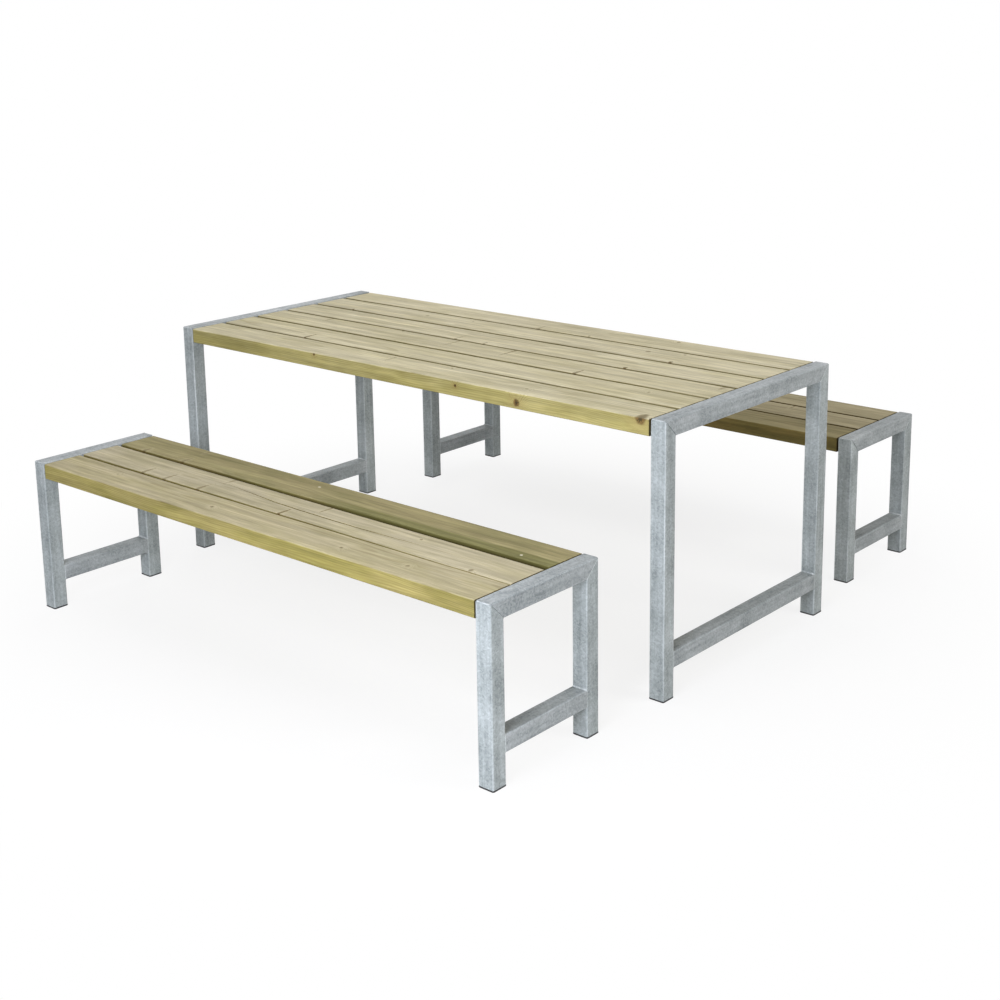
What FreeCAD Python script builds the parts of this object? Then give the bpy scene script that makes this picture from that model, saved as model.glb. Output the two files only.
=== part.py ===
import FreeCAD, Part
import math
import os

# Outdoor plank table with two loose benches, in millimetres.
# X runs along the planks, Y from the front bench to the rear bench, Z up from the floor.
# The origin is on the floor under the middle of the whole set.

# Sizes of the three units
table_length = 1860.0
table_height = 730.0
table_plank_count = 6
bench_length = 1755.0
bench_height = 446.0
bench_plank_count = 3

# Where the benches stand, measured on the floor from the table's edges
front_bench_space = 228.0
rear_bench_space = 241.0
front_bench_shift = 25.0

# Planed planks
plank_width = 120.0
plank_thickness = 44.0
plank_gap = 12.0
plank_edge_radius = 4.0
plank_end_clearance = 2.0
plank_drop = 2.0

# Square steel tube of the end frames
tube_side = 45.0
tube_wall = 2.0
tube_corner_walls = 2.0
stretcher_height = 80.0

# Steel angle welded inside each top rail, which the plank ends lie on
angle_leg = 40.0
angle_thickness = 3.0
angle_past_screw = 10.0

# Flat steel bar across the middle, which keeps the planks level
bar_width = 40.0
bar_thickness = 5.0
bar_past_screw = 40.0

# Hexagon head wood screws, driven up from below
screw_diameter = 6.0
screw_tip_cover = 12.0
screw_head_flats = 10.0
screw_head_height = 4.0
screw_edge_distance = 30.0
steel_hole_clearance = 0.5
pilot_clearance = 0.1
pilot_tip_clearance = 1.0
drill_overrun = 1.0

# Plastic feet, pushed up into the legs
foot_flange = 4.0
foot_overhang = 0.5
foot_plug_height = 18.0
foot_plug_wall = 2.0
foot_fin_count = 2
foot_fin_thickness = 1.5
foot_fin_depth = 2.5
foot_fit_clearance = 0.2

# Sizes that follow from the ones above
tube_corner_radius = tube_corner_walls * tube_wall
tube_bore = tube_side - 2 * tube_wall
plank_end_gap = angle_thickness + plank_end_clearance
screw_length = angle_thickness + plank_thickness - screw_tip_cover
bench_width = bench_plank_count * plank_width + (bench_plank_count - 1) * plank_gap
table_width = table_plank_count * plank_width + (table_plank_count - 1) * plank_gap
table_y = (front_bench_space - rear_bench_space) / 2
front_bench_y = table_y - table_width / 2 - front_bench_space - bench_width / 2
rear_bench_y = table_y + table_width / 2 + rear_bench_space + bench_width / 2

ORIGIN = FreeCAD.Vector(0, 0, 0)
DIAGONAL = FreeCAD.Vector(1, 1, 1)
UP = FreeCAD.Vector(0, 0, 1)


def point_on_circle(x, y, radius, degrees):
    turn = math.radians(degrees)
    return FreeCAD.Vector(x + radius * math.cos(turn), y + radius * math.sin(turn), 0)


def rounded_outline(width, depth, radius):
    """Rectangle with rounded corners, in the XY plane, centred on the origin."""
    x = width / 2 - radius
    y = depth / 2 - radius
    centres = [(x, y), (-x, y), (-x, -y), (x, -y)]
    edges = []
    for quarter in range(4):
        here = centres[quarter]
        after = centres[(quarter + 1) % 4]
        first = 90 * quarter
        bend = [point_on_circle(*here, radius, first + step) for step in (0, 45, 90)]
        edges.append(Part.Arc(*bend).toShape())
        edges.append(Part.LineSegment(bend[2], point_on_circle(*after, radius, first + 90)).toShape())
    return Part.Wire(edges)


def polygon_prism(points, direction):
    """Solid swept from a flat polygon along a straight direction."""
    return Part.Face(Part.makePolygon(points + points[:1])).extrude(direction)


def along_x(shape):
    """Turn a shape that was drawn along Z so that it runs along X, with its X along Y."""
    return shape.rotated(ORIGIN, DIAGONAL, 120)


def along_y(shape):
    """Turn a shape that was drawn along Z so that it runs along Y."""
    return shape.rotated(ORIGIN, DIAGONAL, 240)


def moved(shape, x, y, z):
    return shape.translated(FreeCAD.Vector(x, y, z))


def square_prism(side, z, height):
    """Square block centred on the Z axis, from a height up."""
    return Part.makeBox(side, side, height, FreeCAD.Vector(-side / 2, -side / 2, z))


def square_tube(length):
    """Length of hollow square tube, standing on the XY plane."""
    outline = Part.Face(rounded_outline(tube_side, tube_side, tube_corner_radius))
    return outline.extrude(UP * length).cut(square_prism(tube_bore, 0, length))


def mitre_wedge(x, edge_y, inner_y, top, below):
    """Half of the square at a frame's top corner, split by the mitre.

    The half under the mitre is cut off the rail, the half over it off the leg.
    """
    square_corner_y = edge_y if below else inner_y
    square_corner_z = top - tube_side if below else top
    corners = [
        FreeCAD.Vector(x - tube_side / 2, edge_y, top),
        FreeCAD.Vector(x - tube_side / 2, inner_y, top - tube_side),
        FreeCAD.Vector(x - tube_side / 2, square_corner_y, square_corner_z),
    ]
    return polygon_prism(corners, FreeCAD.Vector(tube_side, 0, 0))


def leg(x, side, width, height):
    """Leg from the foot's flange up to the mitre; side is -1 at the front and 1 at the rear."""
    edge_y = side * width / 2
    inner_y = side * (width / 2 - tube_side)
    tube = moved(square_tube(height - foot_flange), x, (edge_y + inner_y) / 2, foot_flange)
    return tube.cut(mitre_wedge(x, edge_y, inner_y, height, False))


def top_rail(x, width, height):
    """Rail between the two mitres."""
    tube = moved(along_y(square_tube(width)), x, -width / 2, height - tube_side / 2)
    ends = [(side * width / 2, side * (width / 2 - tube_side)) for side in (-1, 1)]
    return tube.cut([mitre_wedge(x, edge_y, inner_y, height, True) for edge_y, inner_y in ends])


def stretcher(x, width):
    """Lower rail that butts against the inner faces of the two legs."""
    length = width - 2 * tube_side
    return moved(along_y(square_tube(length)), x, -length / 2, stretcher_height + tube_side / 2)


def six_sided_bar(flats, length):
    """Hexagon bar; the many screws and their holes keep its flats, so that they stay light."""
    corners = [point_on_circle(0, 0, flats / math.sqrt(3), 60 * turn) for turn in range(6)]
    return polygon_prism(corners, UP * length)


def end_screw_x(end, length):
    """Line of the screws through the bearer; end is -1 at the left and 1 at the right."""
    return end * (length / 2 - tube_side - (angle_thickness + angle_leg) / 2)


def plank_rows(count):
    """Middle of each plank across the unit, from the front to the rear."""
    pitch = plank_width + plank_gap
    return [(row - (count - 1) / 2) * pitch for row in range(count)]


def end_screw_rows(y):
    """Two screws at each end of a plank."""
    offset = plank_width / 2 - screw_edge_distance
    return [y - offset, y + offset]


def steel_hole(x, y, top, thickness):
    """Drill for a screw through a plate, run past both of its faces."""
    drill = six_sided_bar(screw_diameter + 2 * steel_hole_clearance, thickness + 2 * drill_overrun)
    return moved(drill, x, y, top - thickness - drill_overrun)


def bearer(end, length, planks, seat):
    """Angle with its upright leg on the rail and its flat leg under the plank ends."""
    inward = -end
    rail_face = end * (length / 2 - tube_side)
    low = seat - angle_thickness
    rows = [y for row in planks for y in end_screw_rows(row)]
    start = rows[0] - angle_past_screw
    profile = [
        (0, low),
        (angle_leg, low),
        (angle_leg, seat),
        (angle_thickness, seat),
        (angle_thickness, low + angle_leg),
        (0, low + angle_leg),
    ]
    points = [FreeCAD.Vector(rail_face + inward * x, start, z) for x, z in profile]
    angle = polygon_prism(points, FreeCAD.Vector(0, rows[-1] + angle_past_screw - start, 0))
    screw_x = end_screw_x(end, length)
    return angle.cut([steel_hole(screw_x, y, seat, angle_thickness) for y in rows])


def cross_bar(planks, seat):
    """Flat bar under the middle of the planks, with one hole for each plank."""
    start = planks[0] - bar_past_screw
    corner = FreeCAD.Vector(-bar_width / 2, start, seat - bar_thickness)
    bar = Part.makeBox(bar_width, planks[-1] + bar_past_screw - start, bar_thickness, corner)
    return bar.cut([steel_hole(0, y, seat, bar_thickness) for y in planks])


def plank(y, length, seat):
    """Planed plank with rounded long edges and pilot holes in its underside."""
    run = length - 2 * (tube_side + plank_end_gap)
    section = Part.Face(rounded_outline(plank_width, plank_thickness, plank_edge_radius))
    board = moved(along_x(section.extrude(UP * run)), -run / 2, y, seat + plank_thickness / 2)
    pilot = screw_diameter + 2 * pilot_clearance
    depth = screw_length + pilot_tip_clearance
    pilots = [moved(six_sided_bar(pilot, depth - bar_thickness), 0, y, seat)]
    end_pilot = six_sided_bar(pilot, depth - angle_thickness)
    for end in (-1, 1):
        for row in end_screw_rows(y):
            pilots.append(moved(end_pilot, end_screw_x(end, length), row, seat))
    return board.cut(pilots)


def screw(x, y, under_steel):
    """Screw with its head against the underside of the steel at the given height."""
    head = six_sided_bar(screw_head_flats, screw_head_height)
    shank = moved(six_sided_bar(screw_diameter, screw_length), 0, 0, screw_head_height)
    return moved(head.fuse(shank), x, y, under_steel - screw_head_height)


def foot_flange_plate():
    """Plate as wide as the leg and its overhang, with its corners cut off along the leg's bends."""
    half = tube_side / 2 + foot_overhang
    cut = half - (tube_corner_radius + foot_overhang) * (2 - math.sqrt(2))
    corners = [(half, -cut), (half, cut), (cut, half), (-cut, half)]
    corners += [(-half, cut), (-half, -cut), (-cut, -half), (cut, -half)]
    return polygon_prism([FreeCAD.Vector(x, y, 0) for x, y in corners], UP * foot_flange)


def foot():
    """Insert with a flange under the leg's end and a finned cup inside the tube."""
    fin_side = tube_bore - 2 * foot_fit_clearance
    cup_side = fin_side - 2 * foot_fin_depth
    plug = [square_prism(cup_side, foot_flange, foot_plug_height)]
    for row in range(foot_fin_count):
        fin_z = foot_flange + (row + 0.5) * foot_plug_height / foot_fin_count
        plug.append(square_prism(fin_side, fin_z, foot_fin_thickness))
    hollow = square_prism(cup_side - 2 * foot_plug_wall, foot_flange, foot_plug_height)
    return foot_flange_plate().fuse(plug).cut(hollow).removeSplitter()


def unit_pieces(length, height, plank_count):
    """Every piece of a table or bench by name, standing on the floor round the origin."""
    planks = plank_rows(plank_count)
    width = plank_count * plank_width + (plank_count - 1) * plank_gap
    seat = height - plank_drop - plank_thickness
    leg_y = (width - tube_side) / 2
    pieces = {}
    feet = []
    bearer_screws = []
    for end, end_name in ((-1, "left"), (1, "right")):
        x = end * (length - tube_side) / 2
        for side, side_name in ((-1, "front"), (1, "rear")):
            pieces[f"{end_name}_{side_name}_leg"] = leg(x, side, width, height)
            feet.append(moved(foot(), x, side * leg_y, 0))
        pieces[f"{end_name}_top_rail"] = top_rail(x, width, height)
        pieces[f"{end_name}_stretcher"] = stretcher(x, width)
        pieces[f"{end_name}_bearer"] = bearer(end, length, planks, seat)
        for row in planks:
            for y in end_screw_rows(row):
                bearer_screws.append(screw(end_screw_x(end, length), y, seat - angle_thickness))
    for number, y in enumerate(planks, 1):
        pieces[f"plank_{number}"] = plank(y, length, seat)
    pieces["cross_bar"] = cross_bar(planks, seat)
    pieces["feet"] = Part.makeCompound(feet)
    pieces["bearer_screws"] = Part.makeCompound(bearer_screws)
    pieces["bar_screws"] = Part.makeCompound([screw(0, y, seat - bar_thickness) for y in planks])
    return pieces


os.makedirs("parts", exist_ok=True)
units = [
    ("table", table_length, table_height, table_plank_count, 0, table_y),
    ("front_bench", bench_length, bench_height, bench_plank_count, front_bench_shift, front_bench_y),
    ("rear_bench", bench_length, bench_height, bench_plank_count, 0, rear_bench_y),
]
for unit_name, unit_length, unit_height, unit_planks, unit_x, unit_y in units:
    for piece_name, piece in unit_pieces(unit_length, unit_height, unit_planks).items():
        moved(piece, unit_x, unit_y, 0).exportStep(f"parts/{unit_name}_{piece_name}.step")
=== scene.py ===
import math

import bpy
from mathutils import Matrix, Vector


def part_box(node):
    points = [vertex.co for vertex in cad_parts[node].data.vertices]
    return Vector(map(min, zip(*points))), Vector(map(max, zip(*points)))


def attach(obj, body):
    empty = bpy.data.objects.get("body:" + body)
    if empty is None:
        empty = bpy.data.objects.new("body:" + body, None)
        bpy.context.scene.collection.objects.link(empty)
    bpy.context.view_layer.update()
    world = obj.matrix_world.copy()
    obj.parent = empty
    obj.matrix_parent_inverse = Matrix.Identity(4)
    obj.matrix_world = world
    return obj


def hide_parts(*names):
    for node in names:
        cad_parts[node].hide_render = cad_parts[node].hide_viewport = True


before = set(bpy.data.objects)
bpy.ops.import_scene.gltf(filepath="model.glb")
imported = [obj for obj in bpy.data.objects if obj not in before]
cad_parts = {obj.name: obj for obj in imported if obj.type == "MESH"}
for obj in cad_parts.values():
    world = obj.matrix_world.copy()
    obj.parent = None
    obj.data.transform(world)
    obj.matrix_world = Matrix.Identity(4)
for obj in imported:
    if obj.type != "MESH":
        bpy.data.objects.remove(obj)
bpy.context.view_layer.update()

# End frames
# Each unit stands on two frames of 45 mm square steel tube: two legs, a top rail mitred to them and a
# stretcher butted between them. They are welded, then dipped in molten zinc, which leaves mottled crystals.

mm = 0.001
units = ("table", "front_bench", "rear_bench")
ends = ("left", "right")
sides = ("front", "rear")
tube_wall = 2 * mm
tube_corner = 4 * mm
corner_steps = 6
seam_bevel = 0.5 * mm
seam_gap = 1.5 * mm
square_cut = 0.0
mitre_cut = 1.0


def put_node(tree, kind, inputs=None, **settings):
    """Adds a node; each input takes a plain value or the output of another node."""
    made = tree.nodes.new(kind)
    for setting, value in settings.items():
        setattr(made, setting, value)
    for key, value in (inputs or {}).items():
        if isinstance(value, bpy.types.NodeSocket):
            tree.links.new(value, made.inputs[key])
        else:
            made.inputs[key].default_value = value
    return made


def shape(tree, kind, inputs=None, **settings):
    """First output of a new geometry node, as a rule the mesh or the curve that it makes."""
    return put_node(tree, "GeometryNode" + kind, inputs, **settings).outputs[0]


def start_tree(name, inputs, values=None):
    """Geometry tree with named inputs, or a shader group that gives values, and the sockets of its ends."""
    tree = bpy.data.node_groups.new(name, "ShaderNodeTree" if values else "GeometryNodeTree")
    for way, labels in (("INPUT", inputs), ("OUTPUT", values or {"Geometry": "Geometry"})):
        for label, socket in labels.items():
            tree.interface.new_socket(label, in_out=way, socket_type="NodeSocket" + socket)
    return tree, tree.nodes.new("NodeGroupInput").outputs, tree.nodes.new("NodeGroupOutput").inputs


def end_tree(tree, tree_in, tree_out, made, smooth=None):
    """Ends a geometry tree with real faces in its material, made smooth or flat to the light where told."""
    if smooth is not None:
        made = shape(tree, "SetShadeSmooth", {"Geometry": made, "Shade Smooth": smooth})
    made = shape(tree, "RealizeInstances", {"Geometry": made})
    made = shape(tree, "SetMaterial", {"Geometry": made, "Material": tree_in["Material"]})
    tree.links.new(made, tree_out[0])


def joined(tree, *parts):
    """Several shapes as one."""
    made = put_node(tree, "GeometryNodeJoinGeometry")
    for part in parts:
        tree.links.new(part, made.inputs[0])
    return made.outputs[0]


def number(tree, operation, *values):
    """Result of a sum on numbers."""
    return put_node(tree, "ShaderNodeMath", dict(enumerate(values)), operation=operation).outputs[0]


def vector(tree, operation, *values):
    """Result of a sum on vectors; a dot product or a length comes out as a number."""
    made = put_node(tree, "ShaderNodeVectorMath", dict(enumerate(values)), operation=operation)
    return made.outputs["Value" if operation in ("DOT_PRODUCT", "LENGTH") else "Vector"]


def scaled(tree, point, by):
    """Vector made longer or shorter by a number."""
    return put_node(tree, "ShaderNodeVectorMath", {0: point, "Scale": by}, operation="SCALE").outputs[0]


def axes(tree, point):
    """X, Y and Z of a vector, as three numbers."""
    return put_node(tree, "ShaderNodeSeparateXYZ", {0: point}).outputs


def from_axes(tree, x=0.0, y=0.0, z=0.0):
    """Vector from three numbers."""
    return put_node(tree, "ShaderNodeCombineXYZ", {0: x, 1: y, 2: z}).outputs[0]


def round_corners(tree, curve, radius, steps):
    """Curve with each corner rounded in a few steps."""
    corners = {"Curve": curve, "Radius": radius, "Limit Radius": True, "Count": steps}
    return shape(tree, "FilletCurve", corners, mode="POLY")


def rounded_outline(tree, width, height, radius, steps):
    """Rectangle with rounded corners."""
    outline = shape(tree, "CurvePrimitiveQuadrilateral", {"Width": width, "Height": height})
    return round_corners(tree, outline, radius, steps)


def grow(tree, name, sizes, points=(), edges=()):
    """Object whose shape a geometry tree makes from sizes, and from points and edges to build on."""
    base = bpy.data.meshes.new(name)
    base.from_pydata(points, edges, [])
    piece = bpy.data.objects.new(name, base)
    bpy.context.scene.collection.objects.link(piece)
    maker = piece.modifiers.new("shape", "NODES")
    maker.node_group = tree
    for socket in tree.interface.items_tree:
        if socket.in_out == "INPUT" and socket.name in sizes:
            maker[socket.identifier] = sizes[socket.name]
    return piece


def settle(piece, place=Matrix.Identity(4)):
    """Turns what the modifiers make into a plain mesh, in its place."""
    made = piece.evaluated_get(bpy.context.evaluated_depsgraph_get())
    mesh = bpy.data.meshes.new_from_object(made)
    piece.modifiers.clear()
    piece.data = mesh
    mesh.name = piece.name
    mesh.transform(place)
    return piece


def ease_edges(piece, width):
    """Breaks the sharp edges and keeps the flat faces flat to the light."""
    bevel = piece.modifiers.new("eased edges", "BEVEL")
    bevel.width = width
    bevel.segments = 2
    bevel.limit_method = "ANGLE"
    bevel.angle_limit = math.radians(40)
    piece.modifiers.new("flat faces", "WEIGHTED_NORMAL").keep_sharp = True


def fit_on(piece, slot, *nodes):
    """The piece stands for these parts of the model, which are hidden; the slot is not used."""
    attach(piece, "root")
    if nodes:
        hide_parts(*nodes)


def colour(code):
    """Colour as the shader takes it, from its six-figure code."""
    parts = [int(code[k:k + 2], 16) / 255 for k in (1, 3, 5)]
    return [p / 12.92 if p <= 0.04045 else ((p + 0.055) / 1.055) ** 2.4 for p in parts] + [1.0]


def mixed(tree, share, first, second, kind="MIX"):
    """Colour part of the way from the first to the second."""
    shares = {0: share, 6: first, 7: second}
    return put_node(tree, "ShaderNodeMix", shares, data_type="RGBA", blend_type=kind).outputs[2]


def eased(tree, value, low, high, at_low=0.0, at_high=1.0):
    """Number that eases from one level to another as a value goes from low to high."""
    levels = {0: value, 1: low, 2: high, 3: at_low, 4: at_high}
    return put_node(tree, "ShaderNodeMapRange", levels, interpolation_type="SMOOTHSTEP").outputs[0]


def speckle(tree, point, stretch, detail=2.0, roughness=0.5, output="Fac"):
    """Noise whose grains are as many to the metre in each direction as stretch says."""
    spread = vector(tree, "MULTIPLY", point, stretch)
    grain = {"Vector": spread, "Scale": 1.0, "Detail": detail, "Roughness": roughness}
    return put_node(tree, "ShaderNodeTexNoise", grain).outputs[output]


def start_material(name):
    """Material with its shader, and the point of the object that it shades."""
    material = bpy.data.materials.new(name)
    material.use_nodes = True
    tree = material.node_tree
    return material, tree, tree.nodes["Principled BSDF"], tree.nodes.new("ShaderNodeTexCoord")


def dress(tree, shader, base, roughness, height, strength, depth):
    """Gives the shader its colour, its roughness and a skin that rises with height."""
    skin = put_node(tree, "ShaderNodeBump", {"Height": height, "Strength": strength, "Distance": depth})
    for key, value in (("Base Color", base), ("Roughness", roughness), ("Normal", skin.outputs[0])):
        tree.links.new(value, shader.inputs[key])


def zinc_coat(name, dull, bright, crystals, run_stretch, arris_highlight):
    """Hot-dip zinc: fine crystals in faint clouds, runs along the steel and a painted highlight on the
    arrises.
    """
    material, tree, shader, here = start_material(name)
    point = here.outputs["Object"]
    bend = scaled(tree, speckle(tree, point, (30, 30, 30), output="Color"), 12 * mm)
    crystal_point = vector(tree, "ADD", point, bend)
    cells = put_node(tree, "ShaderNodeTexVoronoi", {"Vector": crystal_point, "Scale": crystals})
    cell_grey = put_node(tree, "ShaderNodeSeparateColor", {0: cells.outputs["Color"]}).outputs[0]
    cloud = speckle(tree, point, (10, 10, 10), 5.0, 0.6)
    runs = speckle(tree, point, run_stretch, 4.0, 0.62)
    grit = speckle(tree, point, (520, 520, 520), 2.0, 0.6)
    level = -0.95
    for pattern, weight in ((cloud, 1.1), (runs, 0.9), (cell_grey, 0.35), (grit, 0.55)):
        level = number(tree, "MULTIPLY_ADD", pattern, weight, level)
    level = put_node(tree, "ShaderNodeClamp", {0: level}).outputs[0]
    # Painted highlight: the rounded arrises are mixed towards near white, in place of the lamps' glint on
    # them.
    arris = put_node(tree, "ShaderNodeAttribute", attribute_name="arris").outputs["Fac"]
    highlight_share = eased(tree, runs, 0.4, 0.62, 0.2 * arris_highlight, arris_highlight)
    painted_highlight = number(tree, "MULTIPLY", eased(tree, arris, 0.15, 0.85), highlight_share)
    zinc = mixed(tree, level, colour(dull), colour(bright))
    zinc = mixed(tree, painted_highlight, zinc, colour("#E6ECEE"))
    height = number(tree, "MULTIPLY", grit, 0.35)
    for pattern, weight in ((runs, 0.8), (cell_grey, 0.1)):
        height = number(tree, "MULTIPLY_ADD", pattern, weight, height)
    dress(tree, shader, zinc, eased(tree, level, 0.0, 1.0, 0.62, 0.46), height, 0.35, 0.6 * mm)
    shader.inputs["Metallic"].default_value = 0.1
    shader.inputs["Specular IOR Level"].default_value = 0.1
    return material


# The level zinc is painted a shade darker than the upright zinc: painted shade that offsets the stronger
# light on the rail tops.
upright_zinc = zinc_coat(
    "upright_zinc", "#7F8686", "#C6CDCE", crystals=230.0, run_stretch=(95, 95, 4), arris_highlight=0.4
)
level_zinc = zinc_coat(
    "level_zinc", "#7B8283", "#C3C8CA", crystals=230.0, run_stretch=(95, 4, 95), arris_highlight=0.08
)

tube_inputs = {
    "Side": "Float", "Wall": "Float", "Corner Radius": "Float", "Length": "Float",
    "Near Mitre": "Float", "Far Mitre": "Float", "Material": "Material",
}
square_tube, tube_in, tube_out = start_tree("square_tube", tube_inputs)
bore = number(square_tube, "MULTIPLY_ADD", tube_in["Wall"], -2.0, tube_in["Side"])
bore_radius = number(square_tube, "SUBTRACT", tube_in["Corner Radius"], tube_in["Wall"])
bore_line = rounded_outline(square_tube, bore, bore, bore_radius, corner_steps)
skin_line = rounded_outline(
    square_tube, tube_in["Side"], tube_in["Side"], tube_in["Corner Radius"], corner_steps
)
ring = shape(square_tube, "FillCurve", {"Curve": joined(square_tube, bore_line, skin_line)}, mode="NGONS")
run = shape(
    square_tube, "ExtrudeMesh",
    {"Mesh": ring, "Offset": (0, 0, 1), "Offset Scale": tube_in["Length"], "Individual": False},
)
near_end = shape(square_tube, "FlipFaces", {"Mesh": ring})
shut_tube = shape(
    square_tube, "MergeByDistance", {"Geometry": joined(square_tube, run, near_end), "Distance": 0.01 * mm}
)
spot = axes(square_tube, shape(square_tube, "InputPosition"))
from_x_face = number(square_tube, "ABSOLUTE", spot[0])
from_y_face = number(square_tube, "ABSOLUTE", spot[1])
off_corner = number(square_tube, "ABSOLUTE", number(square_tube, "SUBTRACT", from_x_face, from_y_face))
off_corner = number(square_tube, "DIVIDE", off_corner, tube_in["Corner Radius"])
on_arris = put_node(square_tube, "ShaderNodeClamp", {0: number(square_tube, "SUBTRACT", 1.0, off_corner)})
marked_tube = shape(
    square_tube, "StoreNamedAttribute",
    {"Geometry": shut_tube, "Name": "arris", "Value": on_arris.outputs[0]},
    data_type="FLOAT", domain="POINT",
)
half_way = number(square_tube, "MULTIPLY", tube_in["Length"], 0.5)
is_far = number(square_tube, "GREATER_THAN", spot[2], half_way)
mitre_change = number(square_tube, "SUBTRACT", tube_in["Far Mitre"], tube_in["Near Mitre"])
slope = number(square_tube, "MULTIPLY_ADD", is_far, mitre_change, tube_in["Near Mitre"])
lean = from_axes(square_tube, z=number(square_tube, "MULTIPLY", slope, spot[1]))
cut_tube = shape(square_tube, "SetPosition", {"Geometry": marked_tube, "Offset": lean})
end_tree(square_tube, tube_in, tube_out, cut_tube, smooth=True)

along_y = Matrix.Rotation(math.radians(-90), 4, "X")


def frame_tube(node, zinc, start, length, near_mitre, far_mitre, turn):
    """Length of tube in the place of a CAD node."""
    low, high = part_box(node)
    sizes = {
        "Side": high.x - low.x, "Wall": tube_wall, "Corner Radius": tube_corner, "Length": length,
        "Near Mitre": near_mitre, "Far Mitre": far_mitre, "Material": zinc,
    }
    piece = grow(square_tube, node + "_tube", sizes)
    ease_edges(piece, seam_bevel)
    settle(piece, Matrix.Translation(start) @ turn)
    fit_on(piece, "galvanised_steel", node)


for unit in units:
    for end in ends:
        for side, mitre in zip(sides, (-mitre_cut, mitre_cut)):
            node = f"{unit}_{end}_{side}_leg"
            low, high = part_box(node)
            foot_end = Vector(((low.x + high.x) / 2, (low.y + high.y) / 2, low.z))
            to_mitre = high.z - low.z - (high.x - low.x) / 2 - seam_gap
            frame_tube(node, upright_zinc, foot_end, to_mitre, square_cut, mitre, Matrix.Identity(4))
        node = f"{unit}_{end}_top_rail"
        low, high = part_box(node)
        half_side = (high.x - low.x) / 2
        front_end = Vector((low.x + half_side, low.y + half_side + seam_gap, high.z - half_side))
        between_mitres = high.y - low.y - 2 * half_side - 2 * seam_gap
        frame_tube(node, level_zinc, front_end, between_mitres, mitre_cut, -mitre_cut, along_y)
        node = f"{unit}_{end}_stretcher"
        low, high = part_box(node)
        front_end = Vector((low.x + half_side, low.y, low.z + half_side))
        frame_tube(node, level_zinc, front_end, high.y - low.y, square_cut, square_cut, along_y)

# Welds
# Rippled beads of filler steel, zinc coated with the frames. Flat seams are dressed down along the mitres,
# and fillets are left as laid in the inner corners, round the stretcher ends and in stitches by the bearers.

seam_radius = 2.0 * mm
seam_sinks = (3.4 * mm, 1.9 * mm)
arris_sink = 2.2 * mm
fillet_radius = 3.8 * mm
fillet_sink = 3.6 * mm
stitch_length = 30 * mm
stitch_count = 4
stitch_lift = 1.0 * mm
ripple_pitch = 2.4 * mm
ripple_depth = 0.06
bead_swell = 0.5
bead_step = 0.8 * mm
bead_facets = 10
bend_steps = 5
# The weld zinc is painted paler than the frames: a painted highlight along the seams and fillets.
weld_zinc = zinc_coat(
    "weld_zinc", "#A9B0B1", "#E3E8E9", crystals=420.0, run_stretch=(160, 160, 160), arris_highlight=0.0
)

bead_inputs = {
    "Geometry": "Geometry", "Bead Radius": "Float", "Ripple Pitch": "Float", "Material": "Material",
}
weld_bead, bead_in, bead_out = start_tree("weld_bead", bead_inputs)
weld_line = shape(weld_bead, "MeshToCurve", {"Mesh": bead_in["Geometry"]})
bent_line = round_corners(weld_bead, weld_line, tube_corner, bend_steps)
fine_line = shape(weld_bead, "ResampleCurve", {"Curve": bent_line, "Length": bead_step}, mode="LENGTH")
laid = put_node(weld_bead, "GeometryNodeSplineParameter").outputs["Length"]
turn_angle = number(weld_bead, "MULTIPLY", laid, 2 * math.pi)
turn_angle = number(weld_bead, "DIVIDE", turn_angle, bead_in["Ripple Pitch"])
ripple = number(weld_bead, "MULTIPLY_ADD", number(weld_bead, "SINE", turn_angle), ripple_depth, 0.97)
unsteady = speckle(weld_bead, shape(weld_bead, "InputPosition"), (160, 160, 160))
swell = number(weld_bead, "MULTIPLY_ADD", unsteady, bead_swell, -0.3)
bead_scale = number(weld_bead, "ADD", ripple, swell)
bead_ring = shape(
    weld_bead, "CurvePrimitiveCircle", {"Resolution": bead_facets, "Radius": bead_in["Bead Radius"]}
)
bead_body = shape(
    weld_bead, "CurveToMesh",
    {"Curve": fine_line, "Profile Curve": bead_ring, "Scale": bead_scale, "Fill Caps": True},
)
end_tree(weld_bead, bead_in, bead_out, bead_body, smooth=True)


def lay_welds(name, radius, lines):
    """One piece with a bead along each line; a line whose end meets its start is a ring."""
    points = []
    edges = []
    for line in lines:
        ring = line[0] == line[-1]
        corners = line[:-1] if ring else line
        first = len(points)
        points.extend(corners)
        edges.extend((first + k, first + k + 1) for k in range(len(corners) - 1))
        if ring:
            edges.append((first + len(corners) - 1, first))
    sizes = {"Bead Radius": radius, "Ripple Pitch": ripple_pitch, "Material": weld_zinc}
    piece = settle(grow(weld_bead, name, sizes, points, edges))
    fit_on(piece, "galvanised_steel")


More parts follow.
